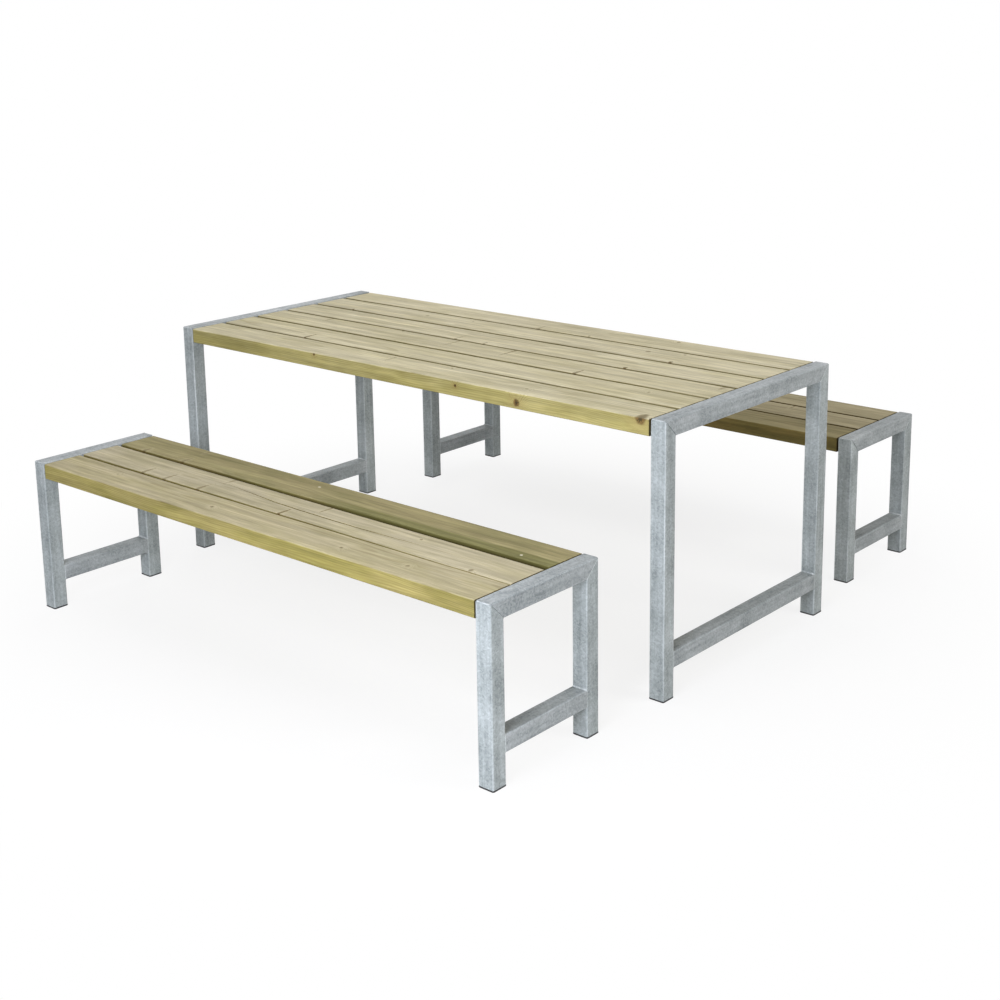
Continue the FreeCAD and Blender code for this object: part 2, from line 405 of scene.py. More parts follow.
for unit in units:
    seams = []
    fillets = []
    for end, outward in zip(ends, (-1, 1)):
        rail_low, rail_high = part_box(f"{unit}_{end}_top_rail")
        side_length = rail_high.x - rail_low.x
        top = rail_high.z
        bar_low, bar_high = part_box(f"{unit}_{end}_stretcher")
        for edge_y, inward, seam_sink in zip((rail_low.y, rail_high.y), (1, -1), seam_sinks):
            inner_y = edge_y + inward * side_length
            for seam_x in (rail_low.x + seam_sink, rail_high.x - seam_sink):
                seams.append([
                    (seam_x, edge_y + inward * 2 * arris_sink, top - 2 * arris_sink),
                    (seam_x, inner_y, top - side_length),
                ])
            arris_y = edge_y + inward * arris_sink
            seams.append([
                (rail_low.x + tube_corner, arris_y, top - arris_sink),
                (rail_high.x - tube_corner, arris_y, top - arris_sink),
            ])
            fillets.append([
                (rail_low.x + tube_corner, inner_y, top - side_length),
                (rail_high.x - tube_corner, inner_y, top - side_length),
            ])
            ring_low = bar_low.x + fillet_sink
            ring_high = bar_high.x - fillet_sink
            fillets.append([
                (ring_low, inner_y, bar_low.z), (ring_high, inner_y, bar_low.z),
                (ring_high, inner_y, bar_high.z), (ring_low, inner_y, bar_high.z),
                (ring_low, inner_y, bar_low.z),
            ])
        heel_low, heel_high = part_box(f"{unit}_{end}_bearer")
        heel_x = (heel_high.x if outward > 0 else heel_low.x) + outward * stitch_lift
        stitch_z = rail_low.z + stitch_lift
        spacing = (heel_high.y - heel_low.y - stitch_length) / (stitch_count - 1)
        for k in range(stitch_count):
            stitch_y = heel_low.y + k * spacing
            fillets.append([(heel_x, stitch_y, stitch_z), (heel_x, stitch_y + stitch_length, stitch_z)])
    lay_welds(f"{unit}_mitre_welds", seam_radius, seams)
    lay_welds(f"{unit}_fillet_welds", fillet_radius, fillets)

# Bearers and cross bars
# Steel angles welded inside the top rails carry the plank ends, and a flat bar across the middle keeps the
# planks level. Both are cut and drilled stock, galvanised like the frames, so their CAD shapes stay.

for unit in units:
    for name in (f"{unit}_left_bearer", f"{unit}_right_bearer", f"{unit}_cross_bar"):
        for material_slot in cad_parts[name].material_slots:
            material_slot.material = level_zinc

# Feet
# A black plastic insert is pushed up into each leg: a flange with a rounded rim that stands on the floor,
# and a plug whose soft fins grip the bore. It is moulded in one piece.


def moulded_plastic():
    """Black plastic with a fine spark-eroded grain, scuffed grey towards the floor."""
    material, tree, shader, here = start_material("moulded_plastic")
    point = here.outputs["Object"]
    grain = speckle(tree, point, (1500, 1500, 1500), 2.0, 0.6)
    scuff = speckle(tree, point, (220, 220, 600), 4.0, 0.7)
    low_rim = eased(tree, axes(tree, point)[2], 0.0, 2.5 * mm, 0.75, 0.1)
    worn = number(tree, "MULTIPLY", low_rim, eased(tree, scuff, 0.45, 0.7))
    black = mixed(tree, worn, colour("#1B1C1E"), colour("#4A4A4A"))
    dress(tree, shader, black, eased(tree, grain, 0.2, 0.8, 0.42, 0.6), grain, 0.3, 0.2 * mm)
    return material


black_plastic = moulded_plastic()
leg_low, leg_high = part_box("table_left_front_leg")
leg_side = leg_high.x - leg_low.x
foot_overhang = 0.5 * mm
fin_clearance = 0.2 * mm
fin_depth = 2.5 * mm
foot_corner = 4.5 * mm
foot_width = leg_side + 2 * foot_overhang
fin_width = leg_side - 2 * tube_wall - 2 * fin_clearance
plug_width = fin_width - 2 * fin_depth
foot_stations = [
    (0.0, foot_width - 2 * mm), (0.3 * mm, foot_width - 0.8 * mm),
    (0.9 * mm, foot_width), (3.6 * mm, foot_width),
    (4.0 * mm, foot_width - 0.6 * mm), (4.0 * mm, plug_width),
    (8.2 * mm, plug_width), (8.5 * mm, fin_width), (9.3 * mm, fin_width), (10.0 * mm, plug_width),
    (17.2 * mm, plug_width), (17.5 * mm, fin_width), (18.3 * mm, fin_width), (19.0 * mm, plug_width),
    (22.0 * mm, plug_width - 2 * mm),
]

foot_inputs = {
    "Geometry": "Geometry", "Width": "Float", "Corner Radius": "Float",
    "Span X": "Float", "Span Y": "Float", "Material": "Material",
}
plug_foot, foot_in, foot_out = start_tree("plug_foot", foot_inputs)
foot_axis = shape(plug_foot, "MeshToCurve", {"Mesh": foot_in["Geometry"]})
width_here = shape(plug_foot, "InputNamedAttribute", {"Name": "width"}, data_type="FLOAT")
width_share = number(plug_foot, "DIVIDE", width_here, foot_in["Width"])
foot_outline = rounded_outline(
    plug_foot, foot_in["Width"], foot_in["Width"], foot_in["Corner Radius"], corner_steps
)
foot_body = shape(
    plug_foot, "CurveToMesh",
    {"Curve": foot_axis, "Profile Curve": foot_outline, "Scale": width_share, "Fill Caps": True},
)
leg_grid = shape(
    plug_foot, "MeshGrid",
    {"Size X": foot_in["Span X"], "Size Y": foot_in["Span Y"], "Vertices X": 2, "Vertices Y": 2},
)
four_feet = shape(plug_foot, "InstanceOnPoints", {"Points": leg_grid, "Instance": foot_body})
end_tree(plug_foot, foot_in, foot_out, four_feet, smooth=False)

for unit in units:
    node = f"{unit}_feet"
    low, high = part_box(node)
    axis_points = [(0, 0, height) for height, width in foot_stations]
    axis_edges = [(k, k + 1) for k in range(len(foot_stations) - 1)]
    sizes = {
        "Width": foot_width, "Corner Radius": foot_corner, "Material": black_plastic,
        "Span X": high.x - low.x - foot_width, "Span Y": high.y - low.y - foot_width,
    }
    piece = grow(plug_foot, node + "_moulded", sizes, axis_points, axis_edges)
    widths = piece.data.attributes.new("width", "FLOAT", "POINT")
    for spot_width, (height, width) in zip(widths.data, foot_stations):
        spot_width.value = width
    settle(piece, Matrix.Translation(((low.x + high.x) / 2, (low.y + high.y) / 2, low.z)))
    fit_on(piece, "black_plastic", node)

# Planks
# Planed pine boards, pressure treated, which tints them green; a painted sheen makes their tops pale. Each
# is sawn from its own log, so rings, knots and spikes of branches differ, and the sides crook a little in
# drying.

plank_radius = 4 * mm
plank_steps = 5
plank_cuts = 72
plank_wander = 1.2 * mm
plank_arris = 0.8 * mm
ring_width = 3.2 * mm


def jitter(tree, point, stretch, reach, detail=2.0, roughness=0.5):
    """Push this way and that, by up to half the reach."""
    noise = speckle(tree, point, stretch, detail, roughness, "Color")
    return scaled(tree, vector(tree, "SUBTRACT", noise, (0.5, 0.5, 0.5)), reach)


plank_inputs = {
    "Length": "Float", "Width": "Float", "Thickness": "Float", "Edge Radius": "Float", "Crook": "Float",
    "Shift": "Float", "Skew": "Float", "Wander": "Float", "Seed": "Float", "Material": "Material",
}
sawn_plank, plank_in, plank_out = start_tree("sawn_plank", plank_inputs)
plank_half = number(sawn_plank, "MULTIPLY", plank_in["Length"], 0.5)
left_tip = from_axes(sawn_plank, number(sawn_plank, "MULTIPLY", plank_half, -1.0))
right_tip = from_axes(sawn_plank, plank_half)
heart_line = shape(sawn_plank, "CurvePrimitiveLine", {"Start": left_tip, "End": right_tip})
cut_line = shape(sawn_plank, "ResampleCurve", {"Curve": heart_line, "Count": plank_cuts})
planed = rounded_outline(
    sawn_plank, plank_in["Width"], plank_in["Thickness"], plank_in["Edge Radius"], plank_steps
)
board = shape(sawn_plank, "CurveToMesh", {"Curve": cut_line, "Profile Curve": planed, "Fill Caps": True})
board_x = axes(sawn_plank, shape(sawn_plank, "InputPosition"))[0]
share_x = number(sawn_plank, "DIVIDE", board_x, plank_half)
arch = number(sawn_plank, "SUBTRACT", 1.0, number(sawn_plank, "MULTIPLY", share_x, share_x))
drift_point = from_axes(sawn_plank, board_x, plank_in["Seed"])
drift = jitter(sawn_plank, drift_point, (3.0, 5.3, 1.0), plank_in["Wander"])
side_shift = number(sawn_plank, "MULTIPLY_ADD", plank_in["Crook"], arch, plank_in["Shift"])
side_shift = number(sawn_plank, "MULTIPLY_ADD", plank_in["Skew"], share_x, side_shift)
bend = from_axes(sawn_plank, y=side_shift)
bend = vector(sawn_plank, "ADD", bend, vector(sawn_plank, "MULTIPLY", drift, (0.0, 1.0, 0.5)))
dried = shape(sawn_plank, "SetPosition", {"Geometry": board, "Offset": bend})
end_tree(sawn_plank, plank_in, plank_out, dried, smooth=True)

branch_inputs = {"Point": "Vector", "Start": "Vector", "Reach": "Vector", "Radius": "Float"}
branch_values = {"Core": "Float", "Pull": "Float", "Dark": "Float"}
branch, branch_in, branch_out = start_tree("branch_in_wood", branch_inputs, branch_values)
from_start = vector(branch, "SUBTRACT", branch_in["Point"], branch_in["Start"])
reach_squared = vector(branch, "DOT_PRODUCT", branch_in["Reach"], branch_in["Reach"])
along = vector(branch, "DOT_PRODUCT", from_start, branch_in["Reach"])
along = number(branch, "DIVIDE", along, reach_squared)
along = put_node(branch, "ShaderNodeClamp", {0: along}).outputs[0]
off_axis = vector(branch, "SUBTRACT", from_start, scaled(branch, branch_in["Reach"], along))
grown = number(branch, "MULTIPLY_ADD", along, 0.65, 0.35)
here_radius = number(branch, "MULTIPLY", branch_in["Radius"], grown)
knot_share = number(branch, "DIVIDE", vector(branch, "LENGTH", off_axis), here_radius)
branch.links.new(eased(branch, knot_share, 0.6, 1.25, 1.0, 0.0), branch_out["Core"])
branch.links.new(eased(branch, knot_share, 0.0, 4.5, 1.0, 0.0), branch_out["Pull"])
spoke_line = vector(branch, "NORMALIZE", off_axis)
spokes = eased(branch, speckle(branch, spoke_line, (3.5, 3.5, 3.5), 1.0), 0.52, 0.6)
bark_rim = eased(branch, knot_share, 0.55, 1.0, 0.0, 0.8)
heart_dark = eased(branch, knot_share, 0.2, 0.6, 0.95, 0.0)
knot_dark = number(branch, "MAXIMUM", number(branch, "MAXIMUM", spokes, bark_rim), heart_dark)
branch.links.new(knot_dark, branch_out["Dark"])

grain_inputs = {
    "Point": "Vector", "Pith": "Vector", "Shift": "Vector", "Ring Width": "Float", "Pull": "Float",
}
grain_values = {key: "Float" for key in ("Latewood", "Fibre", "Streak", "Blotch", "Mottle")}
pine_grain, grain_in, grain_out = start_tree("pine_grain", grain_inputs, grain_values)
log_point = vector(pine_grain, "ADD", grain_in["Point"], grain_in["Shift"])
sway = jitter(pine_grain, log_point, (1.6, 7.0, 7.0), 30 * mm)
swayed = vector(pine_grain, "ADD", grain_in["Point"], sway)
from_pith = vector(pine_grain, "SUBTRACT", swayed, grain_in["Pith"])
pith_distance = vector(pine_grain, "LENGTH", vector(pine_grain, "MULTIPLY", from_pith, (0.0, 1.0, 1.0)))
pith_distance = number(pine_grain, "ADD", pith_distance, grain_in["Pull"])
rings = number(pine_grain, "DIVIDE", pith_distance, grain_in["Ring Width"])
season = number(pine_grain, "FRACT", rings)
summer = eased(pine_grain, season, 0.25, 0.88)
autumn = eased(pine_grain, season, 0.92, 1.0, 1.0, 0.0)
ring_number = {"W": number(pine_grain, "FLOOR", rings)}
year = put_node(pine_grain, "ShaderNodeTexWhiteNoise", ring_number, noise_dimensions="1D").outputs["Value"]
strength = number(pine_grain, "MULTIPLY_ADD", year, 0.6, 0.4)
latewood = number(pine_grain, "MULTIPLY", number(pine_grain, "MULTIPLY", summer, autumn), strength)
pine_grain.links.new(latewood, grain_out["Latewood"])
for key, stretch, detail, roughness in (
    ("Fibre", (12, 420, 420), 4.0, 0.65),
    ("Streak", (1.8, 48, 48), 5.0, 0.66),
    ("Blotch", (4.0, 16, 16), 3.0, 0.6),
    ("Mottle", (7, 95, 95), 4.0, 0.62),
):
    pine_grain.links.new(speckle(pine_grain, log_point, stretch, detail, roughness), grain_out[key])


def treated_pine(name, middle, note):
    """Pine of one plank: rings round its pith, branches through it, green salt stain and a painted sheen on
    top.
    """
    tone = note["tone"]
    material, tree, shader, here = start_material(name)
    at_middle = [-part for part in middle]
    centred = put_node(tree, "ShaderNodeMapping", {"Vector": here.outputs["Object"], "Location": at_middle})
    point = centred.outputs[0]
    rough_edge = jitter(tree, point, (120, 160, 160), 8 * mm, 2.0, 0.6)
    knot_point = vector(tree, "ADD", point, rough_edge)

    def put_branch(lengthwise, start, tip, radius):
        knot = put_node(tree, "ShaderNodeGroup", node_tree=branch)
        tree.links.new(knot_point, knot.inputs["Point"])
        knot.inputs["Start"].default_value = (lengthwise * mm, start[0] * mm, start[1] * mm)
        reach = (0.25 * radius * mm, (tip[0] - start[0]) * mm, (tip[1] - start[1]) * mm)
        knot.inputs["Reach"].default_value = reach
        knot.inputs["Radius"].default_value = radius * mm
        return [knot.outputs[key] for key in branch_values]

    core = 0.0
    dark = 0.0
    halo = 0.0
    pull = 0.0
    for lengthwise, start, tip, radius, strength in note["branches"]:
        this_core, this_pull, this_dark = put_branch(lengthwise, start, tip, radius)
        core = number(tree, "MAXIMUM", core, number(tree, "MULTIPLY", this_core, strength))
        dark = number(tree, "MAXIMUM", dark, number(tree, "MULTIPLY", this_core, this_dark))
        halo = number(tree, "MAXIMUM", halo, number(tree, "MULTIPLY", this_pull, strength))
        pull = number(tree, "MULTIPLY_ADD", this_pull, 1.6 * radius * mm, pull)
    grain = put_node(tree, "ShaderNodeGroup", node_tree=pine_grain)
    tree.links.new(point, grain.inputs["Point"])
    tree.links.new(pull, grain.inputs["Pull"])
    grain.inputs["Pith"].default_value = (0.0, note["pith"][0] * mm, note["pith"][1] * mm)
    grain.inputs["Shift"].default_value = [step * note["seed"] for step in (3.1, 0.37, 0.23)]
    grain.inputs["Ring Width"].default_value = ring_width
    latewood, fibre, streak, blotch, mottle = [grain.outputs[key] for key in grain_values]
    green = eased(tree, blotch, 0.36, 0.66, 0.0, 0.9)
    place = axes(tree, point)
    facing = axes(tree, here.outputs["Normal"])
    if "green_edge" in note:
        edge_y, edge_share, from_x = note["green_edge"]
        wavering = number(tree, "MULTIPLY_ADD", streak, 30 * mm, place[1])
        at_edge = eased(tree, wavering, (edge_y + 8) * mm, (edge_y + 22) * mm, edge_share, 0.0)
        along_edge = eased(tree, place[0], (from_x - 150) * mm, (from_x + 150) * mm)
        stain = number(tree, "MULTIPLY", at_edge, along_edge)
        green = number(tree, "MAXIMUM", green, stain)
    wood = mixed(tree, green, colour(tone["sap"]), colour(tone["green"]))
    # Painted sheen: upward faces are mixed towards a pale colour in place of the lamps' sheen on the rough
    # tops; rings and knots fade under it.
    sheen_mask = eased(tree, number(tree, "MULTIPLY_ADD", mottle, 0.5, facing[2]), 0.5, 1.15)
    top_sheen = number(tree, "MULTIPLY", sheen_mask, tone["top_sheen"])
    top_sheen = number(tree, "MULTIPLY", top_sheen, number(tree, "MULTIPLY_ADD", green, -0.25, 1.0))
    wood = mixed(tree, top_sheen, wood, colour(tone["pale"]))
    ring_share = number(tree, "MULTIPLY", latewood, eased(tree, sheen_mask, 0.0, 1.0, 0.5, 0.3))
    wood = mixed(tree, ring_share, wood, colour(tone["late"]))
    if "green_edge" in note:
        wood = mixed(tree, number(tree, "MULTIPLY", stain, 0.55), wood, colour("#696A38"))
    shade = number(tree, "MULTIPLY_ADD", fibre, 0.6, 0.7)
    for pattern, darkest, lightest in ((streak, 0.80, 1.16), (mottle, 0.88, 1.12)):
        shade = number(tree, "MULTIPLY", shade, eased(tree, pattern, 0.28, 0.72, darkest, lightest))
    grey = put_node(tree, "ShaderNodeCombineColor", {0: shade, 1: shade, 2: shade}).outputs[0]
    wood = mixed(tree, 1.0, wood, grey, "MULTIPLY")
    halo_wood = mixed(tree, sheen_mask, colour("#8F7440"), colour("#D3CAA9"))
    wood = mixed(tree, number(tree, "MULTIPLY", halo, 0.35), wood, halo_wood)
    branch_wood = mixed(tree, sheen_mask, colour("#7F5E34"), colour("#7D6E45"))
    dark = number(tree, "MULTIPLY", dark, eased(tree, sheen_mask, 0.0, 1.0, 1.0, 0.55))
    knot_wood = mixed(tree, dark, branch_wood, colour("#251A0F"))
    wood = mixed(tree, core, wood, knot_wood)
    for lengthwise, across, radius in note.get("resin", ()):
        spot = put_branch(lengthwise, (across, 0), (across, 24), radius)[0]
        wood = mixed(tree, number(tree, "MULTIPLY", spot, 0.85), wood, colour("#E4DEC6"))
    # Painted shade: side faces that look into the gaps between planks are darkened, most of all below the
    # top edge.
    inner_sides = {"front": facing[1], "rear": number(tree, "MULTIPLY", facing[1], -1.0)}
    gap_shade = inner_sides.get(note.get("outer"), number(tree, "ABSOLUTE", facing[1]))
    gap_shade = eased(tree, gap_shade, 0.45, 0.95, 0.0, 0.75)
    gap_shade = number(tree, "MULTIPLY", gap_shade, eased(tree, place[2], 10 * mm, 20 * mm, 1.0, tone["gap"]))
    wood = mixed(tree, gap_shade, wood, colour("#3E3417"))
    # Plank ends are darkened: end grain is darker, and painted shade stands in for the shade in the narrow
    # gap against the rails.
    end_grain_and_shade = eased(tree, number(tree, "ABSOLUTE", facing[0]), 0.45, 0.95, 0.0, 0.75)
    wood = mixed(tree, end_grain_and_shade, wood, colour("#33291A"))
    height = number(tree, "MULTIPLY_ADD", fibre, 0.5, number(tree, "MULTIPLY", latewood, 0.4))
    height = number(tree, "MULTIPLY_ADD", core, -0.6, height)
    dress(tree, shader, wood, eased(tree, streak, 0.2, 0.8, 0.86, 0.7), height, 0.5, 0.5 * mm)
    shader.inputs["Specular IOR Level"].default_value = 0.25
    return material


table_tone = {
    "sap": "#BEB379", "green": "#A89E61", "late": "#7F6D33", "pale": "#D5CEB4", "top_sheen": 0.78, "gap": 0.8,
}
# The far table planks take a paler painted sheen on their tops.
far_table_tone = {**table_tone, "pale": "#DDD6BD"}
seat_tone = {
    "sap": "#A99C62", "green": "#948B4D", "late": "#776630", "pale": "#BEB59A", "top_sheen": 0.78, "gap": 0.5,
}
# The middle front bench plank takes a paler painted sheen on its top.
sheen_seat_tone = {**seat_tone, "pale": "#C8C0A9"}
damp_tone = {
    "sap": "#978852", "green": "#76713A", "late": "#68582A", "pale": "#A8A17F", "top_sheen": 0.6, "gap": 0.5,
}
# The rear bench tones are darker throughout, painted shade where the table shades the rear bench, with
# deeper painted shade in the gaps. The second gives rear planks 2 and 3 a stronger painted sheen on top.
rear_tone = {**damp_tone, "sap": "#82703F", "green": "#6C6235", "late": "#5C4A22", "gap": 0.95}
sheen_rear_tone = {**rear_tone, "pale": "#C6BD9E", "top_sheen": 0.72}

# A branch is its place along the plank, its start and tip across and up, its radius, and its strength.
# Lengths in these notes are in millimetres from the middle of the plank.
plank_notes = {
    "table_plank_1": dict(
        tone=table_tone, outer="front", pith=(25, -70), seed=1, crook=0.8, skew=0.0,
        branches=[
            (239, (-20, 4), (-62, 9), 5, 0.95), (454, (-5, -12), (-62, -4), 11, 0.9),
            (850, (10, 0), (-61, 20), 17, 0.85), (-320, (-30, 8), (-62, 18), 5, 0.95),
            (137, (43, 0), (43, 24), 3.5, 0.8), (-85, (-30, 19), (42, 21), 5, 0.4),
            (450, (-10, 10), (-10, 24), 6, 0.6),
        ],
    ),
    "table_plank_2": dict(
        tone=table_tone, pith=(-20, -62), seed=2, crook=-0.6, skew=0.4,
        branches=[(-505, (-5, 20), (-58, 21), 6, 0.9), (724, (22, 0), (22, 24), 5, 0.6)],
    ),
    "table_plank_3": dict(
        tone=table_tone, pith=(5, 30), seed=3, crook=0.5, skew=-0.5,
        branches=[
            (-645, (5, 20), (60, 21), 6, 0.6), (-90, (-30, 20), (60, 21), 6, 0.45),
            (130, (-34, 20), (60, 21), 6, 0.65), (438, (-10, 20), (-60, 21), 7, 0.75),
            (-326, (40, 10), (57, 21), 6, 0.9), (850, (20, 18), (60, 21), 9, 0.5),
        ],
    ),
    "table_plank_4": dict(
        tone=far_table_tone, pith=(15, -80), seed=4, crook=-0.4, skew=0.3,
        branches=[
            (509, (-40, 8), (-56, 22), 7, 0.95), (-125, (0, 20), (-60, 21), 6, 0.45),
            (-10, (-30, 20), (-60, 21), 6, 0.5),
        ],
    ),
    "table_plank_5": dict(
        tone=far_table_tone, pith=(-35, 75), seed=5, crook=0.7, skew=0.0,
        branches=[
            (-253, (31, 0), (31, 24), 4.5, 0.7), (-436, (14, 0), (14, 24), 7, 0.5),
            (-708, (-40, 8), (-56, 21), 5, 0.8), (440, (16, -5), (16, 24), 9, 0.6),
            (568, (-38, 8), (-56, 22), 7, 0.95), (551, (43, 0), (43, 24), 5, 0.7),
        ],
    ),
    "table_plank_6": dict(
        tone=far_table_tone, outer="rear", pith=(20, -55), seed=6, crook=-0.5, skew=0.2,
        branches=[
            (441, (38, 0), (38, 24), 7, 0.7), (176, (-30, 6), (-54, 23), 5, 0.85),
            (-20, (-20, 20), (-60, 21), 7, 0.5),
        ],
    ),
    "front_bench_plank_1": dict(
        tone=seat_tone, outer="front", pith=(30, -60), seed=7, crook=0.6, shift=1.4, skew=1.2,
        branches=[
            (-581, (16, 0), (16, 24), 5, 0.7), (-142, (-4, 0), (-4, 24), 6, 0.75),
            (352, (-8, 0), (-8, 24), 6, 0.7), (564, (4, 0), (4, 24), 6, 0.7),
        ],
    ),
    "front_bench_plank_2": dict(
        tone=sheen_seat_tone, pith=(-6, 16), seed=8, crook=0.0, shift=-3.0, skew=-3.0,
        branches=[
            (-543, (-10, 19), (-60, 20), 8, 0.6), (-445, (-4, 19), (-60, 20), 8, 0.5),
            (-298, (-8, 19), (-60, 20), 8, 0.6), (36, (-8, 19), (-60, 20), 6, 0.9),
            (113, (-4, 19), (60, 20), 6, 0.7), (-275, (12, 19), (60, 20), 8, 0.5),
            (463, (23, 0), (23, 24), 5, 0.7), (697, (-40, 8), (-57, 21), 7, 0.7),
        ],
    ),
    "front_bench_plank_3": dict(
        tone=damp_tone, outer="rear", pith=(-30, -50), seed=9, crook=0.6, shift=1.5, skew=0.3,
        green_edge=(-22, 0.95, 60), resin=[(723, -39, 4.5), (-47, 23, 5)],
        branches=[
            (-719, (-28, 19), (-60, 20), 9, 0.6), (-540, (-20, 19), (-60, 20), 9, 0.5),
            (-550, (25, 19), (60, 20), 8, 0.5),
        ],
    ),
    "rear_bench_plank_1": dict(
        tone=rear_tone, outer="front", pith=(10, -75), seed=10, crook=0.5, skew=0.5,
        branches=[(-210, (-30, 4), (-62, 6), 8, 0.8)],
    ),
    "rear_bench_plank_2": dict(
        tone=sheen_rear_tone, pith=(-8, 24), seed=11, crook=-0.6, skew=0.0,
        branches=[(539, (10, 19), (60, 20), 6, 0.7), (-120, (-10, 19), (-60, 20), 6, 0.7)],
    ),
    "rear_bench_plank_3": dict(
        tone=sheen_rear_tone, outer="rear", pith=(28, 66), seed=12, crook=-0.4, shift=-0.6, skew=-0.2,
        branches=[(90, (20, 0), (20, 24), 6, 0.7)],
    ),
}

crack_plank = "front_bench_plank_2"
crack_width = 4.5 * mm
crack_depth = 9 * mm
crack_tear = 2.5 * mm
crack_cuts = 120
crack_line = [(-265, 17), (-150, 5), (-36, -7), (70, -11), (184, -13), (340, -13), (420, -10), (484, -6)]
crack_inputs = {"Geometry": "Geometry", "Width": "Float", "Depth": "Float", "Material": "Material"}
drying_crack, crack_in, crack_out = start_tree("drying_crack", crack_inputs)
split_line = shape(drying_crack, "MeshToCurve", {"Mesh": crack_in["Geometry"]})
split_points = shape(drying_crack, "ResampleCurve", {"Curve": split_line, "Count": crack_cuts})
split_share = put_node(drying_crack, "GeometryNodeSplineParameter").outputs["Factor"]
split_arch = number(drying_crack, "SINE", number(drying_crack, "MULTIPLY", split_share, math.pi))
split_scale = number(drying_crack, "MULTIPLY_ADD", split_arch, 0.9, 0.1)
torn = jitter(drying_crack, shape(drying_crack, "InputPosition"), (40, 40, 40), crack_tear, 3.0, 0.6)
sideways = vector(drying_crack, "MULTIPLY", torn, (0, 1, 0))
torn_line = shape(drying_crack, "SetPosition", {"Geometry": split_points, "Offset": sideways})
wedge = shape(
    drying_crack, "CurvePrimitiveQuadrilateral", {"Width": crack_in["Width"], "Height": crack_in["Depth"]}
)
split_body = shape(
    drying_crack, "CurveToMesh",
    {"Curve": torn_line, "Profile Curve": wedge, "Scale": split_scale, "Fill Caps": True},
)
end_tree(drying_crack, crack_in, crack_out, split_body)

for node, note in plank_notes.items():
    low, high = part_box(node)
    middle = (low + high) / 2
    pine = treated_pine(node + "_pine", middle, note)
    sizes = {
        "Length": high.x - low.x, "Width": high.y - low.y, "Thickness": high.z - low.z,
        "Edge Radius": plank_radius, "Crook": note["crook"] * mm, "Skew": note["skew"] * mm,
        "Shift": note.get("shift", 0.0) * mm, "Wander": plank_wander, "Seed": float(note["seed"]),
        "Material": pine,
    }
    piece = grow(sawn_plank, node + "_board", sizes)
    if node == crack_plank:
        top = (high.z - low.z) / 2
        points = [(x * mm, y * mm, top) for x, y in crack_line]
        edges = [(k, k + 1) for k in range(len(points) - 1)]
        crack_sizes = {"Width": crack_width, "Depth": 2 * crack_depth, "Material": pine}
        splitter = grow(drying_crack, "crack", crack_sizes, points, edges)
        cut = piece.modifiers.new("crack", "BOOLEAN")
        cut.object = splitter
        cut.solver = "EXACT"
    ease_edges(piece, plank_arris)
    settle(piece, Matrix.Translation(middle))
    if node == crack_plank:
        bpy.data.objects.remove(splitter)
    fit_on(piece, "treated_pine", node)

# Screws
# Zinc-plated hexagon head wood screws, driven up through the bearers and cross bars into the planks. They
# are cold formed with a washer face under the head. The thread is out of sight in the wood, and left out.


def bright_zinc():
    """Electroplated zinc: thin, bluish and brighter than the dipped frames, with drawn scratches."""
    material, tree, shader, here = start_material("bright_zinc")
    point = here.outputs["Object"]
    scratch = speckle(tree, point, (900, 900, 120), 3.0, 0.6)
    stain = speckle(tree, point, (150, 150, 150), 3.0, 0.6)
    plate = mixed(tree, eased(tree, stain, 0.35, 0.7), colour("#B9C0C6"), colour("#D3D3C4"))
    dress(tree, shader, plate, eased(tree, scratch, 0.2, 0.8, 0.26, 0.46), scratch, 0.2, 0.1 * mm)
    shader.inputs["Metallic"].default_value = 0.9
    return material


zinc_plate = bright_zinc()
screw_flats = 10 * mm
screw_head = 4 * mm
washer_height = 1 * mm
screw_shank = 6 * mm
screw_edge = 30 * mm
largest_turn = 1.05
turn_seed = 4
angle_steel = 3 * mm
round_facets = 24
shank_facets = 12
screw_inputs = {
    "Geometry": "Geometry", "Flats": "Float", "Head Height": "Float", "Washer Height": "Float",
    "Shank": "Float", "Length": "Float", "Material": "Material",
}
wood_screw, screw_in, screw_out = start_tree("wood_screw", screw_inputs)


def raised(tree, geometry, height):
    """Shape lifted along Z."""
    return shape(tree, "Transform", {"Geometry": geometry, "Translation": from_axes(tree, z=height)})


def share(size, part):
    """Part of one of the screw's sizes."""
    return number(wood_screw, "MULTIPLY", screw_in[size], part)


hexagon_radius = number(wood_screw, "DIVIDE", screw_in["Flats"], math.sqrt(3))
hexagon = shape(
    wood_screw, "MeshCylinder", {"Vertices": 6, "Radius": hexagon_radius, "Depth": screw_in["Head Height"]}
)
crown = shape(
    wood_screw, "MeshCone",
    {
        "Vertices": round_facets, "Depth": screw_in["Head Height"],
        "Radius Bottom": share("Flats", 0.46), "Radius Top": share("Flats", 1.2),
    },
)
head = put_node(wood_screw, "GeometryNodeMeshBoolean", operation="INTERSECT", solver="EXACT")
wood_screw.links.new(hexagon, head.inputs["Mesh 2"])
wood_screw.links.new(raised(wood_screw, crown, share("Head Height", -0.5)), head.inputs["Mesh 2"])
washer = shape(
    wood_screw, "MeshCylinder",
    {"Vertices": round_facets, "Radius": share("Flats", 0.64), "Depth": screw_in["Washer Height"]},
)
shank = shape(
    wood_screw, "MeshCone",
    {
        "Vertices": shank_facets, "Depth": screw_in["Length"],
        "Radius Bottom": share("Shank", 0.5), "Radius Top": share("Shank", 0.35),
    },
)
whole_screw = joined(
    wood_screw,
    raised(wood_screw, head.outputs[0], share("Head Height", -0.5)),
    raised(wood_screw, washer, share("Washer Height", -0.5)),
    shank,
)
turns = {3: largest_turn, "Seed": turn_seed}
spin = put_node(wood_screw, "FunctionNodeRandomValue", turns, data_type="FLOAT")
spun = from_axes(wood_screw, z=spin.outputs[1])
